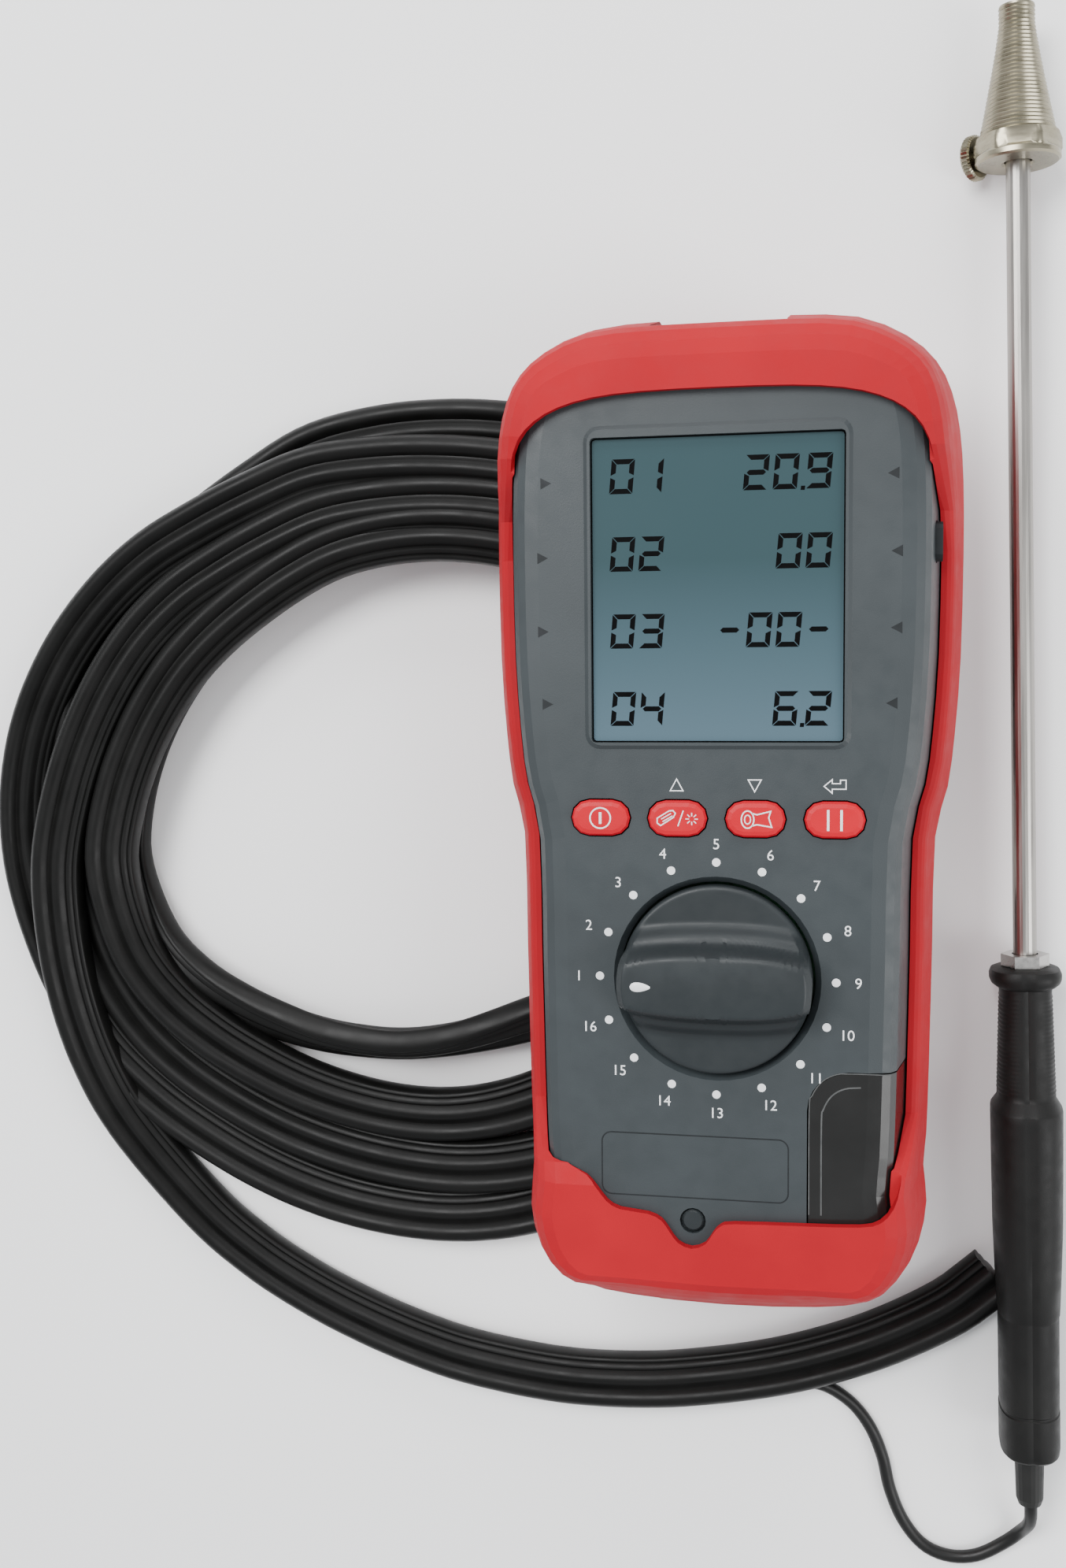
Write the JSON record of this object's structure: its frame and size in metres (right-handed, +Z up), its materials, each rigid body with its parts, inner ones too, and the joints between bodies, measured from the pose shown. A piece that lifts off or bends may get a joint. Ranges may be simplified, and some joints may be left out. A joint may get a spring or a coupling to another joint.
{
  "type": "portable gas detector",
  "caption": "Handheld flue gas analyser in a rubber boot, lying on its coiled twin-lobe hose, with a steel flue probe and sliding depth cone.",
  "frame": {"origin": "on the table under the middle of the box of the meter and the probe, without the hose", "axes": "+Y towards the top of the meter and the tip of the probe, +Z up out of the screen, +X from the meter to the probe"},
  "size_m": [0.2655, 0.3589, 0.0704],
  "materials": {
    "red_rubber": "matte moulded rubber",
    "slate_plastic": "fine texture",
    "dark_plastic": "fine texture",
    "black_rubber": "satin",
    "crimson_key": "satin",
    "white_plastic": "smooth",
    "screen_glass": "clear over a blue-grey display",
    "smoky_plastic": "smoky translucent",
    "steel": "fine brushed",
    "nickel": "nickel plated brass",
    "brass": "plain",
    "cell_jacket": "printed sleeve",
    "board": "solder resist"
  },
  "bodies": {
    "meter_and_probe": {"battery_cell_1": "cell_jacket", "battery_cell_2": "cell_jacket", "battery_cell_3": "cell_jacket", "battery_door": "dark_plastic", "cable_gland": "black_rubber", "carbon_monoxide_sensor": "steel", "case_seal": "black_rubber", "charge_socket": "dark_plastic", "circuit_board": "board", "front_screw": "steel", "front_shell": "slate_plastic", "gas_inlet": "brass", "handle_left": "dark_plastic", "handle_nut": "steel", "handle_right": "dark_plastic", "hose_barb": "brass", "hose_coil": "black_rubber", "hose_connector": "steel", "hose_tail": "black_rubber", "ir_window": "smoky_plastic", "lcd_lens": "screen_glass", "lcd_module": "dark_plastic", "oxygen_sensor": "white_plastic", "particle_filter": "white_plastic", "pressure_port_1": "brass", "pressure_port_2": "brass", "probe_tube": "steel", "rear_screw_1": "steel", "rear_screw_2": "steel", "rear_screw_3": "steel", "rear_shell": "dark_plastic", "rotary_switch": "dark_plastic", "rubber_boot": "red_rubber", "sample_pump": "dark_plastic", "tact_switch_1": "dark_plastic", "tact_switch_2": "dark_plastic", "tact_switch_3": "dark_plastic", "tact_switch_4": "dark_plastic", "thermocouple_cable": "black_rubber", "thermocouple_socket": "dark_plastic", "thermocouple_tip": "steel", "water_trap": "smoky_plastic"},
    "selector": {"selector_knob": "slate_plastic", "knob_pointer": "white_plastic"},
    "power_key": {"button_power": "crimson_key"},
    "pump_key": {"button_pump": "crimson_key"},
    "torch_key": {"button_torch": "crimson_key"},
    "hold_key": {"button_hold": "crimson_key"},
    "cone": {"depth_cone": "nickel"},
    "cone_screw": {"thumbscrew": "nickel"},
    "trap_plug": {"drain_plug": "black_rubber"}
  },
  "joints": [
    {"name": "selector_turn", "type": "hinge", "parent": "meter_and_probe", "child": "selector", "pos_m": [-0.01295, -0.03653, 0.0601], "axis": [0, 0, 1], "continuous": true},
    {"name": "power_key_press", "type": "slide", "parent": "meter_and_probe", "child": "power_key", "axis": [0, 0, -1], "range_m": [0, 0.0008], "stiffness_N_per_m": 1500},
    {"name": "pump_key_press", "type": "slide", "parent": "meter_and_probe", "child": "pump_key", "axis": [0, 0, -1], "range_m": [0, 0.0008], "stiffness_N_per_m": 1500},
    {"name": "torch_key_press", "type": "slide", "parent": "meter_and_probe", "child": "torch_key", "axis": [0, 0, -1], "range_m": [0, 0.0008], "stiffness_N_per_m": 1500},
    {"name": "hold_key_press", "type": "slide", "parent": "meter_and_probe", "child": "hold_key", "axis": [0, 0, -1], "range_m": [0, 0.0008], "stiffness_N_per_m": 1500},
    {"name": "cone_slide", "type": "slide", "parent": "meter_and_probe", "child": "cone", "axis": [0.0236, -0.9997, 0], "range_m": [0, 0.165]},
    {"name": "thumbscrew_turn", "type": "hinge", "parent": "cone", "child": "cone_screw", "pos_m": [0.04843, 0.13872, 0.0102], "axis": [-0.8189, -0.0193, -0.5736], "range_deg": [0, 720]},
    {"name": "trap_plug_pull", "type": "slide", "parent": "meter_and_probe", "child": "trap_plug", "axis": [0, -1, 0], "range_m": [0, 0.012]}
  ]
}
